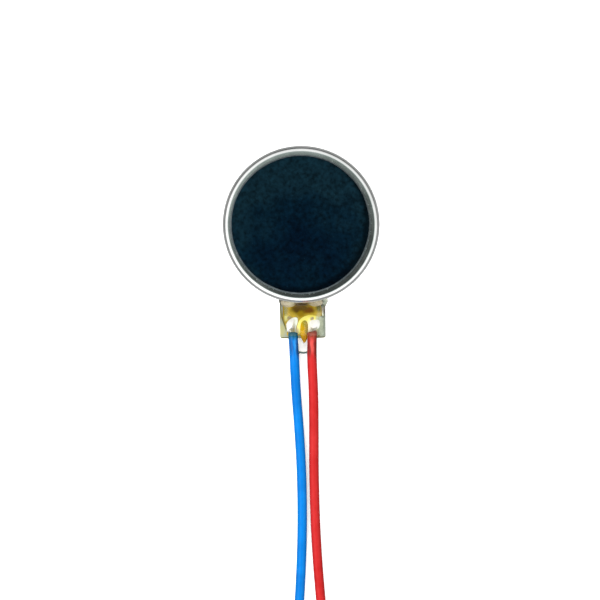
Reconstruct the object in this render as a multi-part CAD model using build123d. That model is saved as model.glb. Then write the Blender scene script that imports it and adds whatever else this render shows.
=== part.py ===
from build123d import *
import os
from math import degrees, radians, tan

# A brushed vibration coin motor, 10 mm across, lying on its base plate.
# All sizes are in mm, angles in degrees.
# Origin: the spin axis on the underside of the base plate. +Z points to the mounting pad, and the terminal
# tongue and the leads run towards -Y, with the positive lead on the +X side.

# ---- driving dimensions -----------------------------------------------------------------------------------

case_radius = 5.0
case_height = 2.7
case_wall = 0.2
case_edge_radius = 0.38
tongue_notch_play = 0.04
tongue_notch_rise = 0.12

plate_thickness = 0.2
tongue_width = 2.94
tongue_end = -7.27
tongue_corner_radius = 0.12
shaft_radius = 0.4
shaft_recess = 0.03
collar_radius = 0.62
collar_top = 0.75

flex_width = 2.3
flex_thickness = 0.1
flex_end = -7.12
flex_head_radius = 1.8
flex_hole_radius = 0.95
copper_thickness = 0.03
trace_head_inner_radius = 1.1
trace_head_outer_radius = 1.68
trace_head_middle_angle = -30.0
trace_head_half_angle = 38.0
trace_strip_middle = 0.62
trace_strip_width = 0.5
trace_strip_start = -1.1
trace_strip_end = -6.1
lead_pad_centre = (0.66, -6.35)
lead_pad_size = (0.78, 1.06)

magnet_inner_radius = 1.9
magnet_outer_radius = 4.3
magnet_bottom = 0.35
magnet_top = 1.1
magnet_chamfer = 0.05
bond_inset = 0.05
bond_channel_play = 0.05

washer_thickness = 0.1
washer_outer_radius = 0.75
washer_play = 0.03
bearing_play = 0.02
end_play = 0.03

rotor_radius = 4.4
bush_outer_radius = 0.75
board_bottom = 1.28
board_top = 1.43
board_radius = 2.3
segment_count = 6
segment_gap = 0.1
segment_inner_radius = 0.9
segment_outer_radius = 1.75
holder_top = 2.2
holder_hub_radius = 1.5
holder_half_angle = 98.0
coil_top = 2.03
coil_inner_radius = 1.55
coil_outer_radius = 4.3
coil_half_angle = 26.0
coil_offset_angle = 65.0
coil_corner_radius = 0.35
window_inner_radius = 2.45
window_outer_radius = 3.45
window_half_angle = 9.0
window_corner_radius = 0.12
weight_bottom = 1.35
weight_top = 2.32
weight_inner_radius = 2.35
weight_half_angle = 28.0

# A brush is drawn along +Y at brush_middle, then turned about the spin axis onto its pad.
brush_middle = 1.2
brush_width = 0.36
brush_strip = 0.05
brush_play = 0.03
brush_turn = 24.4
brush_foot_start = -1.1
brush_foot_end = -0.6
brush_arm_end = 0.3
brush_arm_drop = 0.02
brush_crown = 0.5
brush_tip_end = 0.75
brush_tip_drop = 0.22
brush_bend_radii = [0.15, 0.1, 0.12]
fork_slot_width = 0.06
fork_slot_start = -0.25
brush_solder_gap = 0.03
brush_solder_width = 0.44
brush_solder_start = -1.08
brush_solder_end = -0.66
brush_solder_height = 0.12
brush_solder_edge_radius = 0.04

pad_offset = (-0.07, 0.03)
pad_lower_radius = 4.47
pad_foam_radius = 4.38
pad_upper_radius = 4.36
pad_film = 0.05
pad_foam = 0.3
pad_upper_film = 0.04

lead_diameter = 0.62
core_diameter = 0.24
stripped_length = 2.0
core_in_solder = 0.75
core_lift = 0.02
core_straight = 0.1
red_core_pad = 0.74
blue_core_pad = -0.70
bend_share = 0.45

solder_width = 0.62
solder_length = 0.84
solder_height = 0.38
solder_edge_radius = 0.2
solder_positive_centre = (0.76, -6.28)
solder_negative_centre = (-0.70, -6.40)

glue_top = 1.06
glue_side_margin = 0.08
glue_end_margin = 0.1
glue_start = -4.4
glue_edge_radius = 0.3
web_half_width = 0.57
web_end = -8.35
web_overlap = 0.3
web_lift = 0.08
web_top = 0.82
web_scoop_radius = 0.36
web_scoop_middle = -8.5

# Where each lead's insulation runs, from its cut end under the glue to where it is stripped. Both leads lie
# on the surface that the motor lies on, so their centre lines end just over half a diameter above z = 0.
red_route = [
    (0.60, -6.95, 0.62),
    (0.56, -7.85, 0.60),
    (0.565, -9.15, 0.41),
    (0.63, -10.8, 0.32),
    (0.615, -13.2, 0.32),
    (0.56, -16.4, 0.32),
    (0.64, -20.8, 0.32),
    (1.02, -26.2, 0.32),
    (1.75, -31.6, 0.32),
    (2.25, -36.9, 0.32),
]
blue_route = [
    (-0.64, -6.95, 0.62),
    (-0.585, -7.85, 0.60),
    (-0.555, -9.15, 0.41),
    (-0.49, -10.9, 0.32),
    (-0.335, -13.2, 0.32),
    (-0.205, -16.3, 0.32),
    (-0.25, -20.6, 0.32),
    (-0.62, -26.0, 0.32),
    (-1.28, -31.5, 0.32),
    (-1.62, -36.9, 0.32),
]

# ---- derived dimensions -----------------------------------------------------------------------------------

flex_top = plate_thickness + flex_thickness
trace_top = flex_top + copper_thickness
bush_bottom = collar_top + washer_thickness + end_play
cap_inner_top = case_height - case_wall
bush_top = cap_inner_top - washer_thickness - end_play
segment_bottom = board_bottom - copper_thickness
lead_radius = lead_diameter / 2
core_radius = core_diameter / 2
cutter_reach = 1.0  # how far a cutting block runs past what it cuts

# ---- shapes that repeat -----------------------------------------------------------------------------------


def slab(face, bottom, top):
    """A flat face in the XY plane, made solid between two heights."""
    return Pos(0, 0, bottom) * extrude(face, amount=top - bottom)


def disc(radius, bottom, top):
    return slab(Circle(radius), bottom, top)


def ring(inner_radius, outer_radius, bottom, top):
    return slab(Circle(outer_radius) - Circle(inner_radius), bottom, top)


def block(x_range, y_range, z_range):
    """A box between two corners."""
    low = Vector(x_range[0], y_range[0], z_range[0])
    size = Vector(x_range[1], y_range[1], z_range[1]) - low
    return Pos(low) * Box(size.X, size.Y, size.Z, align=Align.MIN)


def sector_face(inner_radius, outer_radius, middle_angle, half_angle):
    """Part of a ring, as a flat face, centred on one angle."""
    start = middle_angle - half_angle
    outer = CenterArc((0, 0), outer_radius, start, 2 * half_angle)
    inner = CenterArc((0, 0), inner_radius, start, 2 * half_angle)
    return make_face([outer, Line(outer @ 1, inner @ 1), inner, Line(inner @ 0, outer @ 0)])


def rounded_sector_face(inner_radius, outer_radius, middle_angle, half_angle, corner_radius):
    face = sector_face(inner_radius, outer_radius, middle_angle, half_angle)
    return fillet(face.vertices(), corner_radius)


def mirrored(shape):
    """The same shape on the other side of the motor's middle plane."""
    return mirror(shape, about=Plane.YZ)


# ---- case and base ----------------------------------------------------------------------------------------


def cup(radius, height, edge_radius):
    body = disc(radius, 0, height)
    return fillet(body.faces().sort_by(Axis.Z)[-1].edges(), edge_radius)


def make_case_cap():
    """Drawn cup, open below, notched where the tongue passes through its wall."""
    shell = cup(case_radius, case_height, case_edge_radius)
    shell -= cup(case_radius - case_wall, cap_inner_top, case_edge_radius - case_wall)
    half_notch = tongue_width / 2 + tongue_notch_play
    notch = block((-half_notch, half_notch), (-case_radius - cutter_reach, -case_radius + cutter_reach),
                  (-cutter_reach, flex_top + tongue_notch_rise))
    return shell - notch


def make_base_plate():
    """Disc inside the cup's wall, with the tongue outside it and a burred collar that grips the shaft."""
    half_tongue = tongue_width / 2
    tongue = block((-half_tongue, half_tongue), (tongue_end, 0), (0, plate_thickness))
    end_edges = tongue.edges().filter_by(Axis.Z).group_by(Axis.Y)[0]
    plate = fillet(end_edges, tongue_corner_radius) + disc(case_radius - case_wall, 0, plate_thickness)
    plate += disc(collar_radius, 0, collar_top)
    return plate - disc(shaft_radius, 0, collar_top)


def make_shaft():
    """Its end stops just inside the plate's underside, so that the motor seats on the plate."""
    return disc(shaft_radius, shaft_recess, cap_inner_top)


def make_magnet_bond():
    """Adhesive ring under the magnet, open where the flex circuit passes."""
    bond = ring(magnet_inner_radius + bond_inset, magnet_outer_radius - bond_inset, plate_thickness,
                magnet_bottom)
    half_channel = flex_width / 2 + bond_channel_play
    return bond - block((-half_channel, half_channel), (-case_radius, 0), (0, magnet_bottom))


def make_ring_magnet():
    magnet = ring(magnet_inner_radius, magnet_outer_radius, magnet_bottom, magnet_top)
    return chamfer(magnet.edges().filter_by(GeomType.CIRCLE), magnet_chamfer)


# ---- flex circuit and brushes -----------------------------------------------------------------------------


def make_flex_circuit():
    """Round head inside the magnet's bore and a strip that runs out along the tongue."""
    strip = Pos(0, flex_end / 2) * Rectangle(flex_width, -flex_end)
    outline = Circle(flex_head_radius) + strip - Circle(flex_hole_radius)
    return slab(outline, plate_thickness, flex_top)


def make_positive_trace():
    """Copper from the lead's pad on the tongue to the brush's pad in the head."""
    around_head = sector_face(trace_head_inner_radius, trace_head_outer_radius, trace_head_middle_angle,
                              trace_head_half_angle)
    strip_length = trace_strip_start - trace_strip_end
    strip_place = Pos(trace_strip_middle, trace_strip_start - strip_length / 2)
    strip = strip_place * Rectangle(trace_strip_width, strip_length)
    lead_pad = Pos(*lead_pad_centre) * Rectangle(*lead_pad_size)
    return slab(around_head + strip + lead_pad, flex_top, trace_top)


def make_positive_brush(foot_height):
    """Leaf brush: a flat foot, a rising forked arm and a rounded tip under the commutator."""
    nose = segment_bottom - brush_play - brush_strip / 2
    foot = foot_height + brush_strip / 2
    profile = FilletPolyline(
        (brush_middle, brush_foot_start, foot),
        (brush_middle, brush_foot_end, foot),
        (brush_middle, brush_arm_end, nose - brush_arm_drop),
        (brush_middle, brush_crown, nose),
        (brush_middle, brush_tip_end, nose - brush_tip_drop),
        radius=brush_bend_radii,
    )
    start = Plane(origin=profile @ 0, x_dir=(1, 0, 0), z_dir=profile % 0)
    strip = sweep(start * Rectangle(brush_width, brush_strip), path=profile)
    slot_sides = (brush_middle - fork_slot_width / 2, brush_middle + fork_slot_width / 2)
    slot = block(slot_sides, (fork_slot_start, brush_tip_end + cutter_reach), (foot, nose + cutter_reach))
    return Rot(0, 0, brush_turn) * (strip - slot)


def make_positive_brush_solder(brush):
    """Solder round the brush's foot, down to the copper."""
    sides = (brush_middle - brush_solder_width / 2, brush_middle + brush_solder_width / 2)
    mound = block(sides, (brush_solder_start, brush_solder_end), (trace_top, trace_top + brush_solder_height))
    mound = fillet(mound.faces().sort_by(Axis.Z)[-1].edges(), brush_solder_edge_radius)
    return Rot(0, 0, brush_turn) * mound - brush


# ---- rotor ------------------------------------------------------------------------------------------------


def make_washer(bottom):
    return ring(shaft_radius + washer_play, washer_outer_radius, bottom, bottom + washer_thickness)


def make_bearing_bush():
    return ring(shaft_radius + bearing_play, bush_outer_radius, bush_bottom, bush_top)


def make_commutator_board():
    return ring(bush_outer_radius, board_radius, board_bottom, board_top)


def make_commutator_segment(index):
    pitch = 360 / segment_count
    gap_angle = degrees(segment_gap / segment_outer_radius)
    face = sector_face(segment_inner_radius, segment_outer_radius, pitch * (index + 0.5),
                       (pitch - gap_angle) / 2)
    return slab(face, segment_bottom, board_bottom)


def make_coil(middle_angle):
    """Flat air-cored coil, wound to a rounded sector."""
    outside = rounded_sector_face(coil_inner_radius, coil_outer_radius, middle_angle, coil_half_angle,
                                  coil_corner_radius)
    window = rounded_sector_face(window_inner_radius, window_outer_radius, middle_angle, window_half_angle,
                                 window_corner_radius)
    return slab(outside - window, board_top, coil_top)


def make_weight():
    face = sector_face(weight_inner_radius, rotor_radius, 90, weight_half_angle)
    return slab(face, weight_bottom, weight_top)


def make_rotor_holder(held_pieces):
    """Moulded resin fan that holds the coils, the weight and the bush."""
    outline = sector_face(shaft_radius, rotor_radius, 90, holder_half_angle) + Circle(holder_hub_radius)
    holder = slab(outline, board_top, holder_top) - disc(bush_outer_radius, 0, case_height)
    for piece in held_pieces:
        holder -= piece
    return holder


# ---- leads, solder and glue -------------------------------------------------------------------------------


def bend_radii(points):
    """The arc at each corner: as large as its two runs allow."""
    radii = []
    for before, corner, after in zip(points, points[1:], points[2:]):
        run_in = Vector(*corner) - Vector(*before)
        run_out = Vector(*after) - Vector(*corner)
        half_turn = radians(run_in.get_angle(run_out)) / 2
        radii.append(bend_share * min(run_in.length, run_out.length) / tan(half_turn))
    return radii


def beyond(start, end, distance):
    """The point past end, on the line from start to end."""
    direction = (Vector(*end) - Vector(*start)).normalized()
    return tuple(Vector(*end) + direction * distance)


def swept(section, path):
    return sweep(Plane(origin=path @ 0, z_dir=path % 0) * section, path=path)


def make_insulation(route):
    path = FilletPolyline(*route, radius=bend_radii(route))
    return swept(Circle(lead_radius) - Circle(core_radius), path), path


def core_points(route, pad_x):
    """The insulation's route, carried on to the bare tip and back into the solder joint."""
    bend = beyond(route[1], route[0], core_straight)
    pad_end = (pad_x, bend[1] + core_in_solder, trace_top + core_radius + core_lift)
    tip = beyond(route[-2], route[-1], stripped_length)
    return [pad_end, bend] + route[1:-1] + [tip]


def make_core(route, pad_x):
    points = core_points(route, pad_x)
    at_pad = bend_radii(points[:3])
    path = FilletPolyline(*points, radius=at_pad + bend_radii(route))
    return swept(Circle(core_radius), path)


def make_lead_solder(centre, core):
    """Rounded solder joint over the end of a lead's core."""
    foot = Pos(*centre) * Ellipse(solder_width / 2, solder_length / 2)
    joint = slab(foot, trace_top, trace_top + solder_height)
    return fillet(joint.faces().sort_by(Axis.Z)[-1].edges(), solder_edge_radius) - core


def make_terminal_glue(covered_pieces):
    """Clear glue over the tongue, with a web that reaches out between the leads."""
    half_width = tongue_width / 2 - glue_side_margin
    mound = block((-half_width, half_width), (tongue_end + glue_end_margin, glue_start),
                  (plate_thickness, glue_top))
    mound = fillet(mound.faces().sort_by(Axis.Z)[-1].edges(), glue_edge_radius)
    web = block((-web_half_width, web_half_width), (web_end, tongue_end + web_overlap),
                (flex_top + web_lift, web_top))
    web -= Pos(0, web_scoop_middle) * disc(web_scoop_radius, 0, glue_top)
    glue = mound + web - disc(case_radius, 0, case_height)
    for piece in covered_pieces:
        glue -= piece
    return glue


# ---- the pieces -------------------------------------------------------------------------------------------

nodes = {}
nodes["case_cap"] = make_case_cap()
nodes["base_plate"] = make_base_plate()
nodes["shaft"] = make_shaft()
nodes["magnet_bond"] = make_magnet_bond()
nodes["ring_magnet"] = make_ring_magnet()

nodes["flex_circuit"] = make_flex_circuit()
nodes["flex_trace_positive"] = make_positive_trace()
nodes["brush_positive"] = make_positive_brush(trace_top + brush_solder_gap)
nodes["brush_solder_positive"] = make_positive_brush_solder(nodes["brush_positive"])
for part_name in ("flex_trace", "brush", "brush_solder"):
    nodes[part_name + "_negative"] = mirrored(nodes[part_name + "_positive"])

nodes["lower_thrust_washer"] = make_washer(collar_top)
nodes["upper_thrust_washer"] = make_washer(cap_inner_top - washer_thickness)

nodes["bearing_bush"] = make_bearing_bush()
nodes["commutator_board"] = make_commutator_board()
for index in range(segment_count):
    nodes[f"commutator_segment_{index + 1}"] = make_commutator_segment(index)
nodes["coil_right"] = make_coil(90 - coil_offset_angle)
nodes["coil_left"] = make_coil(90 + coil_offset_angle)
nodes["eccentric_weight"] = make_weight()
held_parts = [nodes["coil_right"], nodes["coil_left"], nodes["eccentric_weight"]]
nodes["rotor_holder"] = make_rotor_holder(held_parts)

lead_section = (Circle(lead_radius) - Circle(core_radius)).area
for colour, route, pad_x in (("red", red_route, red_core_pad), ("blue", blue_route, blue_core_pad)):
    nodes[colour + "_lead"], lead_path = make_insulation(route)
    nodes[colour + "_core"] = make_core(route, pad_x)
    lead_volume = nodes[colour + "_lead"].volume
    print(colour, "lead length", round(lead_path.length, 2), "volume", round(lead_volume, 4),
          "section times length", round(lead_section * lead_path.length, 4))
    print(colour, "lead bend radii", [round(radius, 1) for radius in bend_radii(route)])
nodes["lead_solder_positive"] = make_lead_solder(solder_positive_centre, nodes["red_core"])
nodes["lead_solder_negative"] = make_lead_solder(solder_negative_centre, nodes["blue_core"])

glued = ["base_plate", "flex_circuit", "flex_trace_positive", "flex_trace_negative", "lead_solder_positive",
         "lead_solder_negative", "red_core", "blue_core", "red_lead", "blue_lead"]
nodes["terminal_glue"] = make_terminal_glue([nodes[name] for name in glued])

pad_bottom = case_height + pad_film
pad_place = Pos(pad_offset[0], pad_offset[1])
nodes["pad_adhesive_lower"] = pad_place * disc(pad_lower_radius, case_height, pad_bottom)
nodes["foam_pad"] = pad_place * disc(pad_foam_radius, pad_bottom, pad_bottom + pad_foam)
nodes["pad_adhesive_upper"] = pad_place * disc(pad_upper_radius, pad_bottom + pad_foam,
                                               pad_bottom + pad_foam + pad_upper_film)

os.makedirs("parts", exist_ok=True)
for node_name, shape in nodes.items():
    export_step(shape, f"parts/{node_name}.step")
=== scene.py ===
import random
from math import asin, atan2, cos, hypot, pi, radians, sin, sqrt, tau

import bmesh
import bpy
import numpy as np
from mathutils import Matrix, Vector


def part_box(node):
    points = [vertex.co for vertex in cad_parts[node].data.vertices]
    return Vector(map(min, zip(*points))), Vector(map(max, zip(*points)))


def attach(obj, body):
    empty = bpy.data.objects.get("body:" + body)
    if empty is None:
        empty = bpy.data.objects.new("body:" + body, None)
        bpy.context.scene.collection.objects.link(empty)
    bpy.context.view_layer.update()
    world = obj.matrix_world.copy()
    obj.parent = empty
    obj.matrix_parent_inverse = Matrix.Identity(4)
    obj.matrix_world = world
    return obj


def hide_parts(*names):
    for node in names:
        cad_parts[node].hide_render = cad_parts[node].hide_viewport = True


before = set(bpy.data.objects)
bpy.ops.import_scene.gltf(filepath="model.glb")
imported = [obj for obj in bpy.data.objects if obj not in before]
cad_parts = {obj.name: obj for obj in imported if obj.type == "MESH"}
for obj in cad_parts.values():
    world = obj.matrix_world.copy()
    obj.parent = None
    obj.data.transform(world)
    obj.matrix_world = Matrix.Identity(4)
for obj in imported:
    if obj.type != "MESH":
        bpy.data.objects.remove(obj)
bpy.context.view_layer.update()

# The motor lies on its base plate at z = 0, pad up, with its tongue and leads towards -Y. Lengths are in
# metres, as in the frame, and MM turns the small ones that are written here into metres.
MM = 0.001
MOTOR = "motor"

# ---- places and sizes, read from the frame ----

case_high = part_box("case_cap")[1]
case_radius = case_high.x
case_top = case_high.z
case_wall = 0.2 * MM
case_edge_radius = 0.38 * MM

plate_low, plate_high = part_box("base_plate")
plate_radius = plate_high.x
collar_top = plate_high.z
collar_radius = 0.62 * MM
tongue_end = plate_low.y
tongue_half_width = 1.47 * MM

flex_low, flex_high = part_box("flex_circuit")
plate_top = flex_low.z
flex_top = flex_high.z
flex_half_width = 1.15 * MM
flex_hole_radius = 0.95 * MM
flex_end = flex_low.y

shaft_low, shaft_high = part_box("shaft")
trace_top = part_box("flex_trace_positive")[1].z
cover_top = trace_top + 0.02 * MM
lead_radius = 0.31 * MM
core_radius = 0.12 * MM
strand_radius = core_radius / 3
sunk = 0.01 * MM  # how far a drop or collar starts inside what it sits on

# The routes of the two leads, in metres: the same points as in the CAD model.
red_route = [
    (0.00060, -0.00695, 0.00062),
    (0.00056, -0.00785, 0.00060),
    (0.000565, -0.00915, 0.00041),
    (0.00063, -0.0108, 0.00032),
    (0.000615, -0.0132, 0.00032),
    (0.00056, -0.0164, 0.00032),
    (0.00064, -0.0208, 0.00032),
    (0.00102, -0.0262, 0.00032),
    (0.00175, -0.0316, 0.00032),
    (0.00225, -0.0369, 0.00032),
]
blue_route = [
    (-0.00064, -0.00695, 0.00062),
    (-0.000585, -0.00785, 0.00060),
    (-0.000555, -0.00915, 0.00041),
    (-0.00049, -0.0109, 0.00032),
    (-0.000335, -0.0132, 0.00032),
    (-0.000205, -0.0163, 0.00032),
    (-0.00025, -0.0206, 0.00032),
    (-0.00062, -0.0260, 0.00032),
    (-0.00128, -0.0315, 0.00032),
    (-0.00162, -0.0369, 0.00032),
]
stripped_length = 2.0 * MM

# ---- mesh helpers ----


def add_object(name, data):
    piece = bpy.data.objects.new(name, data)
    bpy.context.scene.collection.objects.link(piece)
    return piece


def evaluated_mesh(piece):
    """A piece's mesh as Blender works it out from its curve or modifiers."""
    bpy.context.view_layer.update()
    return bpy.data.meshes.new_from_object(piece.evaluated_get(bpy.context.evaluated_depsgraph_get()))


def apply_modifiers(piece):
    mesh = evaluated_mesh(piece)
    piece.modifiers.clear()
    piece.data = mesh


def mesh_object(name, vertices, faces, sharp_angle=40):
    """A mesh piece with smooth shading, split where two faces meet at more than sharp_angle degrees."""
    mesh = bpy.data.meshes.new(name)
    mesh.from_pydata([tuple(v) for v in vertices], [], faces)
    mesh.validate()
    piece = add_object(name, mesh)
    finish_mesh(piece, sharp_angle)
    return piece


def finish_mesh(piece, sharp_angle=40):
    """Merges doubles, turns the normals outwards and sets the sharp edges."""
    same_place = 1e-7
    work = bmesh.new()
    work.from_mesh(piece.data)
    bmesh.ops.remove_doubles(work, verts=work.verts, dist=same_place)
    bmesh.ops.recalc_face_normals(work, faces=work.faces)
    for face in work.faces:
        face.smooth = True
    limit = radians(sharp_angle)
    for edge in work.edges:
        edge.smooth = len(edge.link_faces) == 2 and edge.calc_face_angle(0) < limit
    work.to_mesh(piece.data)
    work.free()


def lathe(name, profile, centre=(0, 0), steps=192, closed=False, sharp_angle=40):
    """Turns a profile of (radius, z) points about a vertical axis. A point on the axis becomes one vertex."""
    vertices, rings = [], []
    for radius, z in profile:
        if radius < 1e-9:
            rings.append([len(vertices)] * steps)
            vertices.append((centre[0], centre[1], z))
            continue
        rings.append(list(range(len(vertices), len(vertices) + steps)))
        for i in range(steps):
            a = tau * i / steps
            vertices.append((centre[0] + radius * cos(a), centre[1] + radius * sin(a), z))
    faces = []
    for low, high in zip(rings, rings[1:] + rings[:1] if closed else rings[1:]):
        for i in range(steps):
            j = (i + 1) % steps
            corners = [low[i], low[j], high[j], high[i]]
            corners = [c for k, c in enumerate(corners) if c not in corners[:k]]
            if len(corners) > 2:
                faces.append(corners)
    return mesh_object(name, vertices, faces, sharp_angle)


def arc(centre, radius, start, end, count):
    """Points (x, y) along an arc, angles in degrees."""
    angles = [radians(start + (end - start) * i / count) for i in range(count + 1)]
    return [(centre[0] + radius * cos(a), centre[1] + radius * sin(a)) for a in angles]


def gapped_circle(radius, half_gap, count):
    """Points round a circle, from one side of a gap towards -Y to the other."""
    start = asin(half_gap / radius)
    angles = [start + (tau - 2 * start) * i / count for i in range(count + 1)]
    return [(radius * sin(a), -radius * cos(a)) for a in angles]


def plate(name, outlines, bottom, top, bevel):
    """A flat plate cut to closed outlines of (x, y) points, the later ones holes, with rounded edges."""
    curve = bpy.data.curves.new(name, "CURVE")
    curve.dimensions = "2D"
    curve.fill_mode = "BOTH"
    curve.extrude = (top - bottom) / 2 - bevel
    curve.bevel_depth = bevel
    curve.bevel_resolution = 3
    curve.offset = -bevel
    for outline in outlines:
        spline = curve.splines.new("POLY")
        spline.points.add(len(outline) - 1)
        for point, (x, y) in zip(spline.points, outline):
            point.co = (x, y, 0, 1)
        spline.use_cyclic_u = True
    flat = add_object(name + "_outline", curve)
    flat.location.z = (bottom + top) / 2
    mesh = evaluated_mesh(flat)
    mesh.transform(flat.matrix_world)
    mesh.materials.clear()
    bpy.data.objects.remove(flat)
    piece = add_object(name, mesh)
    finish_mesh(piece, 50)
    return piece


def skin_rings(rings, sides, far_end=True):
    """The faces between rings of vertices in a row, over the first ring, and over the last one unless it
    closes to a point."""
    faces = []
    for low in range(0, (rings - 1) * sides, sides):
        for k in range(sides):
            m = (k + 1) % sides
            faces.append([low + k, low + m, low + sides + m, low + sides + k])
    faces.append(list(range(sides))[::-1])
    if far_end:
        faces.append([(rings - 1) * sides + k for k in range(sides)])
    return faces


def squared_to(points, side=None):
    """Each point of a line, with two directions square to the line there that don't twist round it."""
    for i, point in enumerate(points):
        tangent = (points[min(i + 1, len(points) - 1)] - points[max(i - 1, 0)]).normalized()
        if side is None:
            side = tangent.orthogonal().normalized()
        side = (side - tangent * side.dot(tangent)).normalized()
        yield point, side, tangent.cross(side)


def tube_mesh(points, radius, sides):
    """Vertices and faces of a round tube along a list of points, with closed ends."""
    vertices = []
    for point, side, other in squared_to(points):
        for k in range(sides):
            a = tau * k / sides
            vertices.append(point + (side * cos(a) + other * sin(a)) * radius)
    return vertices, skin_rings(len(points), sides)


def smooth_outline(points, rounds=3):
    """A closed outline in millimetres with its corners cut again and again, in metres."""
    points = [Vector((x * MM, y * MM)) for x, y in points]
    for _ in range(rounds):
        cut = []
        for a, b in zip(points, points[1:] + points[:1]):
            cut += [a.lerp(b, 0.25), a.lerp(b, 0.75)]
        points = cut
    return points


def lump_mesh(outline, crest, base, height, fullness=2.0, steepness=0.5, rows=14, slump=None):
    """Vertices and faces of a drop with the given outline, highest at crest. A larger fullness makes its top
    flatter, and slump may change the height from place to place."""
    crest = Vector(crest) * MM
    vertices = []
    for i in range(rows + 1):
        out = cos(pi / 2 * i / rows)
        for point in outline:
            place = crest + (point - crest) * out
            rise = height * (1 - out ** fullness) ** steepness
            if slump:
                rise *= slump(place.x / MM, place.y / MM)
            vertices.append((place.x, place.y, base + rise))
    return vertices, skin_rings(rows + 1, len(outline), far_end=False)


def lump(name, outline, *shape, **more):
    """A piece that is a single drop, its outline in millimetres."""
    return mesh_object(name, *lump_mesh(smooth_outline(outline), *shape, **more), 70)


def join_meshes(parts):
    vertices, faces = [], []
    for more_vertices, more_faces in parts:
        offset = len(vertices)
        vertices += more_vertices
        faces += [[offset + k for k in face] for face in more_faces]
    return vertices, faces


def nurbs(name, points, bevel=0.0):
    """An open curve of order 3 with the points as its control points."""
    curve = bpy.data.curves.new(name, "CURVE")
    curve.dimensions = "3D"
    spline = curve.splines.new("NURBS")
    spline.points.add(len(points) - 1)
    for point, co in zip(spline.points, points):
        point.co = (*co, 1)
    spline.order_u = 3
    spline.use_endpoint_u = True
    curve.resolution_u = 24
    curve.bevel_depth = bevel
    curve.bevel_resolution = 8
    curve.use_fill_caps = True
    return add_object(name, curve)


# ---- material helpers ----


def link(material, output, socket):
    material.node_tree.links.new(output, socket)


def set_values(made, values):
    """Sets each value on the input socket of that name, or else on the node's own property."""
    for name, value in values.items():
        socket = name.replace("_", " ")
        if socket in made.inputs:
            made.inputs[socket].default_value = value
        else:
            setattr(made, name, value)


def feed(material, sockets, values):
    """Links each value that comes from a node to its socket, and sets the others there."""
    for socket, value in zip(sockets, values):
        if isinstance(value, bpy.types.NodeSocket):
            link(material, value, socket)
        else:
            socket.default_value = value


def node(material, kind, **values):
    made = material.node_tree.nodes.new(kind)
    set_values(made, values)
    return made


def surface(name, **values):
    """A new material and its Principled shader, with the given values on its sockets."""
    material = bpy.data.materials.new(name)
    material.use_nodes = True
    shader = material.node_tree.nodes["Principled BSDF"]
    set_values(shader, values)
    return material, shader


def number_math(material, operation, *values, **settings):
    made = node(material, "ShaderNodeMath", operation=operation, **settings)
    feed(material, made.inputs, values)
    return made.outputs[0]


def vector_math(material, operation, *values):
    made = node(material, "ShaderNodeVectorMath", operation=operation)
    feed(material, made.inputs, values)
    gives_number = operation in ("DISTANCE", "DOT_PRODUCT", "LENGTH")
    return made.outputs["Value" if gives_number else "Vector"]


def scaled(material, colour, amount):
    made = node(material, "ShaderNodeVectorMath", operation="SCALE")
    feed(material, [made.inputs["Vector"], made.inputs["Scale"]], [colour, amount])
    return made.outputs["Vector"]


def mix_colours(material, amount, first, second):
    """The first colour where the amount is 0, and the second where it is 1."""
    made = node(material, "ShaderNodeMix", data_type="RGBA")
    colours = [socket for socket in made.inputs if socket.type == "RGBA"]
    feed(material, [made.inputs[0], *colours], [amount, first, second])
    return next(socket for socket in made.outputs if socket.type == "RGBA")


def coordinate(material, place, axis):
    split = node(material, "ShaderNodeSeparateXYZ")
    link(material, place, split.inputs[0])
    return split.outputs[axis]


def millimetres(material, stretch=(1, 1, 1)):
    """The place on the object in millimetres, in the row frame, stretched for brushed grains."""
    place = node(material, "ShaderNodeTexCoord").outputs["Object"]
    return vector_math(material, "MULTIPLY", place, [s / MM for s in stretch])


def noise(material, vector, scale, detail=3.0, roughness=0.55):
    made = node(material, "ShaderNodeTexNoise", Scale=scale, Detail=detail, Roughness=roughness)
    link(material, vector, made.inputs["Vector"])
    return made.outputs["Fac"]


def ramp(material, factor, stops):
    """A colour ramp: stops are (position, colour)."""
    made = node(material, "ShaderNodeValToRGB")
    elements = made.color_ramp.elements
    while len(elements) < len(stops):
        elements.new(0.5)
    for element, (position, colour) in zip(elements, stops):
        element.position = position
        element.color = (*colour, 1)
    link(material, factor, made.inputs["Fac"])
    return made.outputs["Color"]


def two_tone(material, factor, dark, light):
    """From one colour to the other, over the range that a noise covers."""
    return ramp(material, factor, [(0.3, dark), (0.7, light)])


def remap(material, factor, low, high, in_low=0.0, in_high=1.0):
    """Turns in_low to in_high into low to high, and holds the end values beyond them."""
    made = node(material, "ShaderNodeMapRange", From_Min=in_low, From_Max=in_high, To_Min=low, To_Max=high)
    link(material, factor, made.inputs["Value"])
    return made.outputs["Result"]


def bump(material, shader, height, depth, strength=1.0):
    """Bump with a height of 0 to 1 that stands for depth metres."""
    made = node(material, "ShaderNodeBump", Strength=strength, Distance=depth)
    link(material, height, made.inputs["Height"])
    link(material, made.outputs["Normal"], shader.inputs["Normal"])


def paint(material, shader, colour, grain=None, roughness=None, depth=0.0, strength=1.0):
    """Gives the shader its colour, and the roughness and relief that follow a grain."""
    link(material, colour, shader.inputs["Base Color"])
    if roughness:
        link(material, remap(material, grain, *roughness), shader.inputs["Roughness"])
    if depth:
        bump(material, shader, grain, depth, strength)


def mottled(name, colours, scale, roughness, depth=0.0, shine=0.5, **values):
    """A material whose colour, roughness and relief vary with one noise."""
    material, shader = surface(name, Specular_IOR_Level=shine, **values)
    grain = noise(material, millimetres(material), scale)
    paint(material, shader, two_tone(material, grain, *colours), grain, roughness, depth)
    return material


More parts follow.
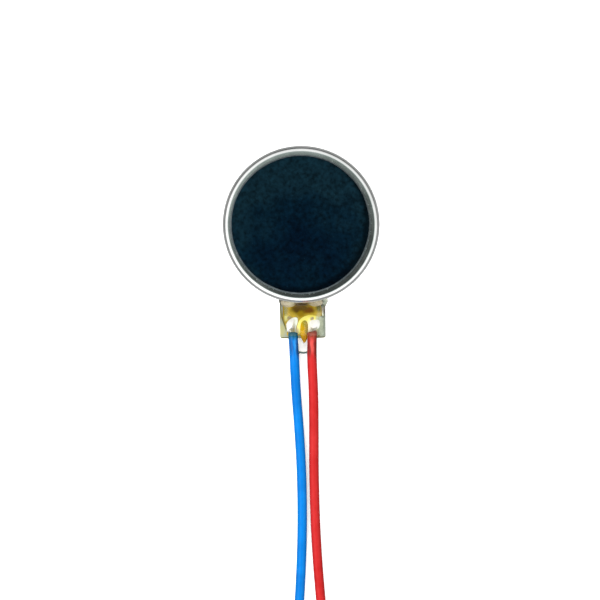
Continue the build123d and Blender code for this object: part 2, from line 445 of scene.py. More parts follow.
def stains_and_painted_light(material, place, colour, colour_marks):
    """Lays soft patches over a colour, real marks as well as painted shade and painted highlights: each is
    (x, y, across, along, colour), in millimetres. A noise, a half on average, makes their edges wander."""
    wander, full_within, none_beyond = 0.22, 0.45, 1.1
    drift = node(material, "ShaderNodeTexNoise", Scale=3.0, Detail=3.0)
    link(material, place, drift.inputs["Vector"])
    moved = vector_math(material, "MULTIPLY_ADD", drift.outputs["Color"], (wander, wander, 0), place)
    for x, y, across, along, mark_colour in colour_marks:
        from_middle = vector_math(material, "SUBTRACT", moved, (x + wander / 2, y + wander / 2, 0))
        shares = vector_math(material, "MULTIPLY", from_middle, (1 / across, 1 / along, 0))
        away = vector_math(material, "LENGTH", shares)
        amount = remap(material, away, 1.0, 0.0, full_within, none_beyond)
        colour = mix_colours(material, amount, colour, (*mark_colour, 1))
    return colour


def stained_film(name, colours, scale, colour_marks, **values):
    """A thin coat of adhesive or flux: two tones of one colour, with marks over them, which on the notch
    sealant hold painted shade.
    """
    material, shader = surface(name, **values)
    place = millimetres(material)
    tone = two_tone(material, noise(material, place, scale), *colours)
    paint(material, shader, stains_and_painted_light(material, place, tone, colour_marks))
    return material


# ---- materials ----


def stainless():
    """Bright drawn steel, polished on top and satin down the wall, with faint rings."""
    satin_below, polished_above = 2.48, 2.56
    material, shader = surface("stainless", Metallic=1.0)
    place = millimetres(material)
    height = coordinate(material, place, "Z")
    from_axis = vector_math(material, "LENGTH", vector_math(material, "MULTIPLY", place, (1, 1, 0)))
    rings = node(material, "ShaderNodeCombineXYZ")
    feed(material, rings.inputs, [from_axis, height])
    lines = noise(material, rings.outputs[0], 22.0, 4.0, 0.7)
    smudges = noise(material, place, 0.9)
    polish = remap(material, number_math(material, "MULTIPLY", lines, smudges), 0.08, 0.22, 0.1, 0.5)
    satin = remap(material, height, 0.26, 0.0, satin_below, polished_above)
    paint(material, shader, two_tone(material, smudges, (0.63, 0.65, 0.64), (0.74, 0.75, 0.74)), lines,
          depth=0.004 * MM, strength=0.5)
    link(material, number_math(material, "ADD", polish, satin), shader.inputs["Roughness"])
    return material


def rolled_steel(name, colour_marks):
    """Satin sheet steel with the fine lines of rolling."""
    material, shader = surface(name, Metallic=0.85)
    place = millimetres(material)
    grain = noise(material, millimetres(material, (14, 1, 14)), 1.6, 5.0, 0.65)
    steel = two_tone(material, noise(material, place, 0.8), (0.36, 0.38, 0.31), (0.48, 0.51, 0.43))
    paint(material, shader, stains_and_painted_light(material, place, steel, colour_marks), grain, (0.22, 0.42), 0.005 * MM, 0.6)
    return material


def pad_skin(name, lift):
    """Dark blue closed-cell foam, matt and mottled, a little greener and paler towards its back rim, and
    darkened with painted shade in a crescent along its front right edge."""
    paler_away_from, painted_shade_away_from = (-0.3, -2.2, 2.9), (-0.28, 0.21, 3.05)
    tones = [(0.35, (0.0004, 0.0046, 0.0120)), (0.65, (0.0009, 0.0078, 0.0160)),
             (0.95, (0.0030, 0.0136, 0.0212))]
    material, shader = surface(name, Specular_IOR_Level=0.01)
    place = millimetres(material)
    patches = noise(material, place, 0.45)
    blotches = noise(material, place, 4.0)
    rim = remap(material, vector_math(material, "DISTANCE", place, paler_away_from), 0.0, 0.64, 1.8, 5.9)
    colour = ramp(material, number_math(material, "ADD", patches, rim),
                  [(at, [share * lift for share in tone]) for at, tone in tones])
    colour = scaled(material, colour, remap(material, blotches, 0.38, 1.22, 0.3, 0.7))
    specks = noise(material, place, 9.0, 2.0)
    dust = ramp(material, specks, [(0.70, (0, 0, 0)), (0.80, (0.0046, 0.0122, 0.0152))])
    colour = vector_math(material, "ADD", colour, dust)
    # Painted shade: the colour is darkened in a crescent along the front right edge.
    from_middle = vector_math(material, "DISTANCE", place, painted_shade_away_from)
    colour = scaled(material, colour, remap(material, from_middle, 1.0, 0.32, 4.14, 4.42))
    paint(material, shader, colour, blotches, (0.75, 0.95))
    cells = node(material, "ShaderNodeTexVoronoi", Scale=6.0)
    link(material, place, cells.inputs["Vector"])
    bump(material, shader, cells.outputs["Distance"], 0.02 * MM, 0.4)
    return material


def film():
    """The adhesive film under the foam, whose edge shows as a thin grey line."""
    return mottled("adhesive_film", [(0.033, 0.045, 0.051), (0.072, 0.090, 0.096)], 3.0, (0.25, 0.45),
                   0.004 * MM)


def polyimide(name, dark, light, colour_marks=()):
    """Amber film over copper: brown glass, with a soft sheen, and patches of soldering residue and painted
    shade laid over it.
    """
    material, shader = surface(name, Metallic=0.1, Specular_IOR_Level=0.08)
    place = millimetres(material)
    shade = noise(material, place, 1.7)
    colour = stains_and_painted_light(material, place, ramp(material, shade, [(0.32, dark), (0.68, light)]), colour_marks)
    paint(material, shader, colour, shade, (0.24, 0.40), 0.004 * MM, 0.5)
    return material


def bright_metal(name, colours, roughness, scale=4.0, depth=0.004 * MM):
    return mottled(name, colours, scale, roughness, depth, Metallic=1.0)


def clear_glue():
    material, shader = surface("clear_glue", Roughness=0.03, IOR=1.45, Transmission_Weight=1.0)
    cloud = noise(material, millimetres(material), 1.8)
    paint(material, shader, two_tone(material, cloud, (0.98, 0.98, 0.93), (1.0, 1.0, 0.98)))
    return material


def insulation(name, dark, light, painted_shade_tones, painted_streaks):
    """Extruded lead insulation, with a little wet shine. Near the joint it is darkened with painted shade,
    and near the motor it carries dark and light stripes along it that are painted shade and painted
    highlight."""
    dark_starts, dark_full, shine_ends, shine_full = -7.50, -7.12, -8.9, -8.1
    material, shader = surface(name, Specular_IOR_Level=0.05, Coat_Roughness=0.12)
    place = millimetres(material)
    along = coordinate(material, place, "Y")
    fine = noise(material, millimetres(material, (1, 0.25, 1)), 7.0)
    plain = two_tone(material, noise(material, place, 1.1), dark, light)
    # Painted shade: the colour turns darker towards the joint.
    darkened_share = remap(material, along, 0.0, 1.0, dark_starts, dark_full)
    colour = mix_colours(material, darkened_share, plain, two_tone(material, fine, *painted_shade_tones))
    # The stripes laid on here are painted highlight and painted shade.
    paint(material, shader, stains_and_painted_light(material, place, colour, painted_streaks), fine, (0.32, 0.48), 0.006 * MM, 0.5)
    shine = remap(material, along, 0.06, 0.40, shine_ends, shine_full)
    link(material, shine, shader.inputs["Coat Weight"])
    return material


def trace_copper():
    """Copper foil, tinned on the solder pads at its outer end."""
    tinned_to, tinned_from = -5.80, -5.76
    material, shader = surface("trace_copper", Metallic=1.0)
    place = millimetres(material)
    grain = noise(material, place, 5.0)
    copper = two_tone(material, grain, (0.70, 0.34, 0.18), (0.90, 0.52, 0.32))
    tin = two_tone(material, grain, (0.72, 0.73, 0.66), (0.90, 0.91, 0.84))
    tinned_share = remap(material, coordinate(material, place, "Y"), 1.0, 0.0, tinned_to, tinned_from)
    colour = mix_colours(material, tinned_share, copper, tin)
    paint(material, shader, colour, grain, (0.28, 0.45), 0.004 * MM, 0.5)
    return material


def wound_wire():
    """Enamelled copper, with the turns of the winding as fine ridges."""
    material, shader = surface("wound_wire", Metallic=0.9, Coat_Weight=0.5, Roughness=0.32)
    turns = node(material, "ShaderNodeTexWave", wave_type="RINGS", rings_direction="Z", Scale=2.6,
                 Distortion=0.6)
    link(material, millimetres(material), turns.inputs["Vector"])
    ridges = turns.outputs["Fac"]
    colour = ramp(material, ridges, [(0.2, (0.36, 0.10, 0.03)), (0.8, (0.76, 0.30, 0.11))])
    paint(material, shader, colour, ridges, depth=0.02 * MM, strength=0.8)
    return material


stainless_steel = stainless()
plate_steel = rolled_steel("plate_steel", [(-1.35, -6.75, 0.30, 0.55, (0.56, 0.53, 0.27)),
                                           (-1.40, -5.75, 0.25, 0.45, (0.38, 0.34, 0.20)),
                                           (1.22, -5.20, 0.24, 0.22, (0.12, 0.15, 0.09)),
                                           (1.31, -5.55, 0.26, 0.50, (0.18, 0.155, 0.135)),
                                           (1.26, -6.40, 0.22, 0.90, (0.44, 0.49, 0.38))])
# Painted reflection: the solder is near white and nearly matt, standing in for the bright light mirrored in
# the tin.
solder_painted_white = mottled("solder", [(0.95, 0.95, 0.94), (1.0, 1.0, 1.0)], 5.0, (0.32, 0.44), 0.004 * MM,
                       Metallic=0.1)
tinned = bright_metal("tinned", [(0.66, 0.66, 0.64), (0.84, 0.84, 0.82)], (0.22, 0.38), 9.0)
ground_steel = bright_metal("ground_steel", [(0.55, 0.56, 0.57), (0.68, 0.69, 0.70)], (0.16, 0.28), 6.0)

# Painted shade: the dark tones of the leads near the joint and of their collars.
red_painted_shade = [(0.13, 0.024, 0.010), (0.24, 0.040, 0.020)]
blue_painted_shade = [(0.002, 0.044, 0.065), (0.006, 0.076, 0.11)]
# Painted highlight and painted shade near the motor: a light stripe down the middle of each lead and dark
# ones along its sides.
red_painted_light_streaks = [(0.40, -7.90, 0.15, 0.75, (0.15, 0.008, 0.006)),
               (0.59, -7.80, 0.13, 0.60, (0.46, 0.055, 0.045)),
               (0.80, -7.95, 0.15, 0.85, (0.13, 0.006, 0.003))]
blue_painted_light_streaks = [(-0.74, -7.75, 0.15, 0.65, (0.001, 0.070, 0.25)),
                (-0.50, -7.70, 0.11, 0.50, (0.012, 0.170, 0.46)),
                (-0.33, -7.90, 0.13, 0.75, (0.001, 0.046, 0.15))]
red_pvc = insulation("red_pvc", (0.335, 0.0095, 0.0095), (0.400, 0.018, 0.018), red_painted_shade, red_painted_light_streaks)
blue_pvc = insulation("blue_pvc", (0.0002, 0.108, 0.38), (0.0005, 0.146, 0.47), blue_painted_shade, blue_painted_light_streaks)

HIDDEN_MATERIALS = {
    "magnet_bond": mottled("magnet_glue", [(0.40, 0.28, 0.10), (0.60, 0.46, 0.24)], 3.0, (0.25, 0.5)),
    "ring_magnet": mottled("magnet_coat", [(0.030, 0.030, 0.032), (0.070, 0.070, 0.074)], 9.0, (0.35, 0.6),
                           0.01 * MM),
    "flex_trace": trace_copper(),
    "brush_solder": solder_painted_white,
    "brush": bright_metal("brush_alloy", [(0.74, 0.64, 0.40), (0.88, 0.80, 0.58)], (0.15, 0.3)),
    "lower_thrust_washer": mottled("washer_film", [(0.70, 0.68, 0.60), (0.82, 0.80, 0.74)], 2.0, (0.3, 0.5)),
    "bearing_bush": bright_metal("sintered_bronze", [(0.42, 0.27, 0.12), (0.66, 0.47, 0.24)], (0.3, 0.6),
                                 30.0),
    "commutator_board": mottled("solder_mask", [(0.02, 0.14, 0.06), (0.04, 0.22, 0.10)], 5.0, (0.2, 0.35)),
    "commutator_segment": bright_metal("plated_gold", [(0.80, 0.56, 0.20), (0.94, 0.72, 0.34)], (0.12, 0.26)),
    "coil": wound_wire(),
    "eccentric_weight": bright_metal("tungsten", [(0.26, 0.26, 0.27), (0.42, 0.42, 0.43)], (0.3, 0.55), 24.0),
    "rotor_holder": mottled("rotor_resin", [(0.012, 0.012, 0.014), (0.04, 0.04, 0.045)], 12.0, (0.35, 0.6),
                            0.01 * MM),
}
HIDDEN_MATERIALS["upper_thrust_washer"] = HIDDEN_MATERIALS["lower_thrust_washer"]


def dress_hidden_nodes():
    """Gives each CAD node that stays its own material, by the longest name that it starts with."""
    for name, cad_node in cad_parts.items():
        known = [k for k in HIDDEN_MATERIALS if name.startswith(k)]
        if known:
            cad_node.data.materials.clear()
            cad_node.data.materials.append(HIDDEN_MATERIALS[max(known, key=len)])


def place_piece(piece, material, slot, *nodes):
    """Gives a piece its material and the CAD nodes that it stands for; the slot is not used. Every piece that
    is
    made here stays still with the motor: the rotor keeps its CAD meshes."""
    piece.data.materials.clear()
    piece.data.materials.append(material)
    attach(piece, MOTOR)
    if nodes:
        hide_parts(*nodes)
    return piece


# ---- case and base ----


def make_case():
    """The drawn cup: a turned shell with a rounded edge, cut away below where the tongue passes."""
    outer, inner, rim = case_radius, case_radius - case_wall, 0.02 * MM
    edge, inner_edge = case_edge_radius, case_edge_radius - case_wall
    top, under, middle = case_top, case_top - case_wall, 1.5 * MM
    dip, notch_play, notch_rise = 0.008 * MM, 0.04 * MM, 0.12 * MM
    profile = [(0, top), (0.6 * outer, top), (0.86 * outer, top)]
    profile += arc((outer - edge, top - edge - dip), edge, 88.5, 0, 20)
    profile += [(outer, middle), (outer, rim)]
    profile += arc((outer - rim, rim), rim, 0, -90, 4)[1:]
    profile += arc((inner + rim, rim), rim, -90, -180, 4)
    profile += [(inner, middle)]
    profile += arc((inner - inner_edge, under - inner_edge), inner_edge, 0, 90, 8)
    profile += [(0.6 * outer, under), (0, under)]
    shell = lathe("case_shell", profile, steps=256)
    bpy.ops.mesh.primitive_cube_add(size=1, location=(0, -case_radius, 0))
    cutter = bpy.context.object
    cutter.scale = (2 * (tongue_half_width + notch_play), 2 * MM, 2 * (flex_top + notch_rise))
    cut = shell.modifiers.new("notch", "BOOLEAN")
    cut.operation = "DIFFERENCE"
    cut.object = cutter
    cut.solver = "EXACT"
    apply_modifiers(shell)
    bpy.data.objects.remove(cutter)
    finish_mesh(shell, 35)
    place_piece(shell, stainless_steel, "stainless_case", "case_cap")


def tongue_outline():
    """The base plate's edge: round, with the tongue towards -Y."""
    corner, half = 0.12 * MM, tongue_half_width
    left = arc((-half + corner, tongue_end + corner), corner, 180, 270, 6)
    right = arc((half - corner, tongue_end + corner), corner, 270, 360, 6)
    return gapped_circle(plate_radius, half, 240) + left + right


def make_base():
    """Sheet steel with the tongue, and the collar raised round its hole that grips the shaft."""
    hole, rounding = shaft_high.x, 0.02 * MM
    base = plate("base_steel", [tongue_outline(), arc((0, 0), hole, 0, 352.5, 47)], 0.0, plate_top, rounding)
    profile = [(hole, plate_top - sunk), (collar_radius, plate_top - sunk)]
    profile += arc((collar_radius - rounding, collar_top - rounding), rounding, 0, 90, 3)
    profile += arc((hole + rounding, collar_top - rounding), rounding, 90, 180, 3)
    collar = lathe("collar", profile, steps=48, closed=True)
    both = bmesh.new()
    both.from_mesh(base.data)
    both.from_mesh(collar.data)
    both.to_mesh(base.data)
    both.free()
    bpy.data.objects.remove(collar)
    place_piece(base, plate_steel, "base_steel", "base_plate")


def make_shaft():
    radius, edge = shaft_high.x, 0.03 * MM
    profile = [(0, shaft_low.z), (radius - edge, shaft_low.z)]
    profile += arc((radius - edge, shaft_low.z + edge), edge, -90, 0, 3)
    profile += [(radius, shaft_high.z), (0, shaft_high.z)]
    place_piece(lathe("motor_shaft", profile, steps=64), ground_steel, "shaft_steel", "shaft")


# ---- mounting pad ----


def disc_profile(radius, bottom, top, edge):
    profile = [(0, bottom), (radius - edge, bottom)]
    profile += arc((radius - edge, bottom + edge), edge, -90, 0, 4)[1:]
    profile += arc((radius - edge, top - edge), edge, 0, 90, 6)
    return profile + [(0.93 * radius, top), (0.6 * radius, top), (0.3 * radius, top), (0, top)]


def make_pad_layer(name, cad_node, material, slot, edge, wobble):
    """One round layer of the pad. Its cut edge waves a little all round, stands out a little at the front
    right and is cut in at the back."""
    waves = [(5, 1.0, 1.0), (11, 0.7, 2.0), (23, 0.5, 0.0), (47, 0.35, 1.3)]
    highest = sum(share for _, share, _ in waves)
    rim_share = 0.2
    low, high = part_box(cad_node)
    centre = (low + high) / 2
    radius = (high.x - low.x) / 2
    layer = lathe(name, disc_profile(radius, low.z, high.z, edge), centre, steps=240, sharp_angle=50)
    for vertex in layer.data.vertices:
        x, y = vertex.co.x - centre.x, vertex.co.y - centre.y
        a = atan2(y, x)
        ripple = sum(share * sin(count * a + phase) for count, share, phase in waves)
        lean = (0.03 * max(0.0, cos(a + pi / 4)) - 0.08 * max(0.0, cos(a - radians(110))) ** 2) * MM
        near_rim = max(0.0, hypot(x, y) / radius - (1 - rim_share)) / rim_share
        pull = (wobble * (ripple - highest) / highest + lean) * near_rim
        vertex.co.x += pull * cos(a)
        vertex.co.y += pull * sin(a)
    return place_piece(layer, material, slot, cad_node)


def make_crumbs():
    """Crumbs of adhesive round the pad, most of them on its right, each a low uneven lump on the steel."""
    count, corners, first_at, most_at, spread = 46, 7, -101.7, -20, 55
    low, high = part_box("pad_adhesive_lower")
    centre, radius = (low + high) / 2, (high.x - low.x) / 2
    chance = random.Random(7)
    lumps = []
    for i in range(count):
        angle = chance.gauss(most_at, spread) if i else first_at
        away = radius / MM + chance.uniform(0.0, 0.05)
        size = chance.uniform(0.012, 0.038)
        x = centre.x / MM + away * cos(radians(angle))
        y = centre.y / MM + away * sin(radians(angle))
        outline = [(x + size * chance.uniform(0.7, 1.3) * cos(tau * k / corners),
                    y + size * chance.uniform(0.7, 1.3) * sin(tau * k / corners)) for k in range(corners)]
        lumps.append(lump_mesh(smooth_outline(outline, 2), (x, y), case_top - 0.02 * MM,
                               (0.03 + 0.3 * size) * MM, rows=5))
    crumbs = mesh_object("adhesive_crumbs", *join_meshes(lumps), 70)
    grey = mottled("crumbs", [(0.10, 0.13, 0.12), (0.34, 0.39, 0.36)], 3.0, (0.4, 0.6), shine=0.1)
    place_piece(crumbs, grey, "adhesive_film")


def make_pad():
    edge, wobble = 0.012 * MM, 0.014 * MM
    make_pad_layer("pad_film_below", "pad_adhesive_lower", film(), "adhesive_film", 0.01 * MM, 0.006 * MM)
    foam = make_pad_layer("pad_foam", "foam_pad", pad_skin("foam_side", 1.08), "foam", 0.03 * MM, wobble)
    make_pad_layer("pad_film_above", "pad_adhesive_upper", pad_skin("pad_top", 0.77), "foam", edge, wobble)


# ---- flex circuit, solder, glue ----


def make_threads(name, material, paths, radius):
    """Fine beads along the given paths, in millimetres: adhesive, and dark threads of painted shade."""
    tubes = [tube_mesh([p * MM for p in curve_points(path)], radius, 10) for path in paths]
    place_piece(mesh_object(name, *join_meshes(tubes), 60), material, "clear_glue")


def make_flex_tail():
    """The flex circuit: a round head under the brushes and the strip along the tongue."""
    half, corner, taper_start = flex_half_width, 0.1 * MM, -5.9 * MM
    left = [(-half - 0.02 * MM, taper_start)] + arc((-0.93 * MM, flex_end + corner), corner, 200, 270, 5)
    right = arc((half - corner, flex_end + corner), corner, 270, 360, 5)
    hole = arc((0, 0), flex_hole_radius, 0, 352, 63)
    outline = gapped_circle(flex_high.y, half, 96) + left + right
    flex = plate("flex_film", [outline, hole], plate_top, flex_top, 0.012 * MM)
    amber = polyimide("polyimide", (0.36, 0.24, 0.006), (0.56, 0.38, 0.03))
    place_piece(flex, amber, "polyimide", "flex_circuit")

    # The film over its traces, which leaves the solder pads open.
    inside = sqrt(case_radius ** 2 - half ** 2) - 0.6 * MM
    edge = half - 0.03 * MM
    cover_end = flex_end + 0.05 * MM
    outline = [(-edge, -inside), (-edge, taper_start), (-0.98 * MM, cover_end), (edge, cover_end),
               (edge, -inside)]
    opening = [(-0.84, -6.08), (-0.60, -5.95), (-0.38, -5.94), (-0.31, -6.05), (-0.35, -6.32), (-0.46, -6.62),
               (-0.44, -7.00), (-0.92, -7.00), (-1.02, -6.65), (-1.04, -6.36)]
    cover = plate("flex_cover", [outline, smooth_outline(opening, 2)], flex_top, cover_top, 0.008 * MM)
    # The dark brown, olive and red-brown marks nearest the case are flux residue darkened with painted shade
    # of the case's edge. The brown-grey mark at the left joint's upper corner is painted shade.
    dark_brown, olive, red_brown = (0.090, 0.046, 0.0005), (0.24, 0.16, 0.002), (0.15, 0.055, 0.0005)
    colour_marks = [(-0.03, -5.42, 0.95, 0.42, olive), (-0.30, -5.41, 0.50, 0.25, dark_brown),
              (-0.08, -5.05, 0.70, 0.28, (0.12, 0.075, 0.04)), (0.40, -5.48, 0.46, 0.25, red_brown),
              (-0.14, -5.72, 0.22, 0.26, (0.30, 0.19, 0.003)), (0.10, -5.36, 0.30, 0.16, (0.11, 0.06, 0.001)),
              (1.04, -5.32, 0.24, 0.36, (0.13, 0.12, 0.022)), (-1.08, -5.45, 0.18, 0.46, (0.27, 0.24, 0.07)),
              (-1.08, -5.98, 0.30, 0.22, (0.60, 0.58, 0.20)), (-0.80, -5.98, 0.20, 0.14, (0.26, 0.20, 0.09)),
              (-0.40, -6.20, 0.15, 0.46, (0.34, 0.28, 0.07)), (1.06, -6.60, 0.34, 0.95, (0.42, 0.47, 0.34))]
    place_piece(cover, polyimide("cover_film", (0.38, 0.26, 0.012), (0.56, 0.40, 0.05), colour_marks), "polyimide")


def make_adhesive():
    """The adhesive pressed out along the flex circuit's edges, of which the dark bead along the left edge is
    painted shade, and the sealant where it enters the case.
    """
    olive_glue_and_painted_shade = mottled("squeezed_adhesive", [(0.085, 0.080, 0.020), (0.15, 0.145, 0.05)], 4.0, (0.2, 0.4),
                         shine=0.1)
    # Painted shade: a dark bead laid along the left edge, where the tongue's edge looks dark.
    shaded_edge_left = [(-1.40, -5.05, 0.22), (-1.38, -5.5, 0.22), (-1.32, -5.83, 0.23), (-1.25, -6.15, 0.24),
                  (-1.11, -6.52, 0.25), (-0.95, -6.98, 0.26)]
    make_threads("edge_painted_shade", olive_glue_and_painted_shade, [shaded_edge_left], 0.058 * MM)
    end_left = [(-1.43, -7.20, 0.15), (-1.39, -7.235, 0.175), (-1.2, -7.24, 0.18), (-0.80, -7.235, 0.18)]
    end_right = [(-x, y, z) for x, y, z in reversed(end_left)]
    make_threads("end_adhesive", olive_glue_and_painted_shade, [end_left, end_right], 0.04 * MM)

    milky = mottled("milky_adhesive", [(0.36, 0.41, 0.30), (0.54, 0.60, 0.48)], 4.0, (0.25, 0.45), 0.006 * MM,
                    shine=0.15)
    margin = [(0.97, -5.86), (1.06, -5.78), (1.20, -5.84), (1.33, -5.96), (1.30, -6.20), (1.38, -6.42),
              (1.31, -6.62), (1.37, -6.84), (1.33, -7.06), (1.18, -7.16), (1.04, -7.10), (0.96, -6.96),
              (0.99, -6.78), (0.93, -6.60), (1.01, -6.46), (0.95, -6.28), (1.03, -6.14), (0.96, -6.00)]
    skin = lump("margin_adhesive", margin, (1.15, -6.45), plate_top - sunk, cover_top + 0.03 * MM - plate_top,
                9.0, rows=12)
    place_piece(skin, milky, "clear_glue")

    # Flux residue with painted shade of the case's edge: the brown patch in the middle of the sealant.
    brown_middle = [(0.02, -5.0, 0.56, 0.70, (0.105, 0.075, 0.035))]
    pale = stained_film("notch_sealant", [(0.36, 0.30, 0.20), (0.52, 0.47, 0.34)], 2.5, brown_middle,
                        Roughness=0.35, Specular_IOR_Level=0.1)
    width, base = 0.46, cover_top - 0.05 * MM
    fillets = []
    for x, reach in ((-0.84, 0.34), (0.82, 0.32), (0.0, 0.20)):
        y = -4.98 + 0.05 * abs(x)
        outline = [(x + width * cos(tau * k / 12), y + reach * sin(tau * k / 12)) for k in range(12)]
        fillets.append(lump_mesh(smooth_outline(outline, 2), (x, -4.93), base, 0.30 * MM))
    place_piece(mesh_object("notch_sealant", *join_meshes(fillets), 70), pale, "clear_glue")


def make_solder(name, cad_node, crest, outline):
    """A reflowed joint: wetted out thin at its foot and full over the flattened core of the lead."""
    joint = lump(name, outline, crest, trace_top - sunk, 0.25 * MM, fullness=1.4, steepness=0.85, rows=18)
    place_piece(joint, solder_painted_white, "solder", cad_node)


def make_flux():
    """What the soldering left: a pale film round the right joint and an amber drop between the two."""
    patches = [(0.47, -6.62, 0.20, 0.62, (0.95, 0.88, 0.66)), (0.62, -6.02, 0.16, 0.12, (0.36, 0.28, 0.16)),
               (-0.42, -6.85, 0.16, 0.40, (0.78, 0.66, 0.32)), (0.98, -6.0, 0.16, 0.3, (0.50, 0.52, 0.34))]
    pale = stained_film("flux_film", [(0.92, 0.80, 0.10), (1.0, 0.93, 0.26)], 2.2, patches, Roughness=0.28,
                        Specular_IOR_Level=0.08)
    sheet = [(1.02, -5.86), (0.73, -5.79), (0.40, -5.76), (0.10, -5.86), (-0.14, -6.00), (-0.29, -6.20),
             (-0.38, -6.45), (-0.47, -6.72), (-0.44, -7.08), (0.10, -7.10), (0.50, -7.08), (0.80, -6.85),
             (0.98, -6.60), (0.95, -6.10)]
    flux = lump("flux_film", sheet, (0.25, -6.4), trace_top - sunk, 0.075 * MM, 5.0, rows=10)
    place_piece(flux, pale, "clear_glue")
    colour_marks = [(0.16, -6.20, 0.30, 0.42, (0.42, 0.34, 0.03)), (0.30, -6.75, 0.17, 0.75, (0.36, 0.25, 0.004)),
              (0.14, -7.30, 0.30, 0.36, (0.50, 0.24, 0.01))]
    amber = stained_film("flux_drop", [(0.66, 0.38, 0.002), (0.84, 0.52, 0.01)], 2.6, colour_marks, Roughness=0.25,
                         Specular_IOR_Level=0.04)
    drop = [(0.14, -6.04), (0.34, -6.20), (0.41, -6.58), (0.38, -6.95), (0.29, -7.28), (0.08, -7.68),
            (-0.12, -7.26), (-0.23, -6.94), (-0.24, -6.57), (-0.11, -6.22)]
    place_piece(lump("flux_residue", drop, (0.10, -6.7), trace_top, 0.16 * MM, rows=10), amber, "clear_glue")


def make_collars():
    """The ends of the insulation, shrunk back in the heat of soldering and drawn in to the core under the
    glue, in the dark tones of painted shade. The red one is skewed. The rings are (place along the lead,
    radius), in millimetres."""
    rings = [(-0.09, 0.16), (-0.08, 0.21), (-0.05, 0.27), (-0.01, 0.305), (0.04, 0.322), (0.11, 0.322),
             (0.15, 0.315), (0.155, 0.29)]
    steps = 32
    for colour, route, skew, tones in (("red", red_route, 0.12, red_painted_shade),
                                       ("blue", blue_route, 0.0, blue_painted_shade)):
        start, ahead = Vector(route[0]), (Vector(route[1]) - Vector(route[0])).normalized()
        side = ahead.orthogonal().normalized()
        other = ahead.cross(side)
        vertices = []
        for i, (along, radius) in enumerate(rings):
            for k in range(steps):
                a = tau * k / steps
                out = radius * MM * (1 + 0.008 * sin(3 * a + i))
                outward = side * cos(a) + other * sin(a)
                shift = (along - skew * max(0.0, outward.x) * (1 - i / (len(rings) - 1))) * MM
                vertices.append(start + ahead * shift + outward * out)
        collar = mesh_object(colour + "_collar", vertices, skin_rings(len(rings), steps), 60)
        place_piece(collar, mottled(colour + "_painted_dark", tones, 5.0, (0.2, 0.4)), colour + "_insulation")


def glue_slump(x, y):
    """How the glue's height varies: it climbs the case, and rises over the leads and dips between them."""
    case_wall_at, climb, lead_width, joints_start = -4.75, 0.55, 0.5, -5.9
    against_case = max(0.0, 1 - (case_wall_at - y) / climb) ** 2
    near_lead = sum(max(0.0, 1 - ((x - lead) / lead_width) ** 2) for lead in (-0.62, 0.60))
    past_joints = max(0.0, min(1.0, joints_start - y))
    return 0.66 + 0.5 * min(1.0, against_case) + 0.20 * near_lead * past_joints


def make_glue():
    """Clear glue over the joints. It covers the tongue, climbs the case and webs the leads."""
    mound = [(-1.52, -4.60), (-1.53, -4.86), (-1.42, -5.16), (-1.36, -5.70), (-1.24, -6.15), (-1.08, -6.60),
             (-0.96, -7.00), (-0.88, -7.18), (-0.45, -7.20), (0.0, -7.24), (0.50, -7.20), (1.05, -7.20),
             (1.30, -7.12), (1.38, -6.75), (1.38, -6.0), (1.42, -5.35), (1.58, -5.08), (1.68, -4.88),
             (1.56, -4.60), (0.0, -4.80)]
    web = [(-0.50, -6.90), (-0.52, -7.5), (-0.50, -8.35), (-0.36, -8.42), (-0.24, -8.26), (0.0, -8.20),
           (0.24, -8.26), (0.38, -8.42), (0.52, -8.35), (0.50, -7.5), (0.50, -6.90)]
    parts = [lump_mesh(smooth_outline(mound), (0.0, -6.0), plate_top - sunk, 0.80 * MM, 5.0, rows=24,
                       slump=glue_slump)]
    for side in (1, -1):
        parts.append(lump_mesh(smooth_outline(web, 2)[::side], (0.0, -7.4), 0.55 * MM, side * 0.16 * MM, 6.0,
                               rows=10))
    glue = mesh_object("glue", *join_meshes(parts), 80)
    remesh = glue.modifiers.new("skin", "REMESH")
    remesh.mode = "VOXEL"
    remesh.voxel_size = 0.025 * MM
    smooth = glue.modifiers.new("flow", "SMOOTH")
    smooth.factor = 0.5
    smooth.iterations = 6
    apply_modifiers(glue)
    finish_mesh(glue, 80)
    place_piece(glue, clear_glue(), "clear_glue", "terminal_glue")
    # Painted shade: a dark thread laid along the end of the web, where the clear glue's edge looks dark.
    web_end_painted_shade = mottled("glue_web_edge_shade", [(0.035, 0.060, 0.055), (0.075, 0.105, 0.095)], 4.0, (0.1, 0.25))
    across = [(-0.33, -8.15, 0.62), (-0.15, -8.20, 0.60), (0.12, -8.22, 0.59), (0.32, -8.17, 0.60)]
    make_threads("glue_web_edge_shade", web_end_painted_shade, [across], 0.07 * MM)


# ---- leads ----


def beyond(start, end, distance):
    start, end = Vector(start), Vector(end)
    return end + (end - start).normalized() * distance


def curve_points(points):
    """Points along the smooth curve of a route, as Blender works them out."""
    guide = nurbs("guide", points)
    mesh = evaluated_mesh(guide)
    found = [v.co.copy() for v in mesh.vertices]
    bpy.data.objects.remove(guide)
    bpy.data.meshes.remove(mesh)
    return found


def resample(points, step):
    """Evenly spaced points along a line of points."""
    places = [0.0]
    for a, b in zip(points, points[1:]):
        places.append(places[-1] + (b - a).length)
    count = int(places[-1] / step)
    wanted = np.linspace(0, places[-1], count + 1)
    table = np.array([tuple(p) for p in points])
    return [Vector(np.interp(w, places, table[:, k]) for k in range(3)) for w in wanted], wanted


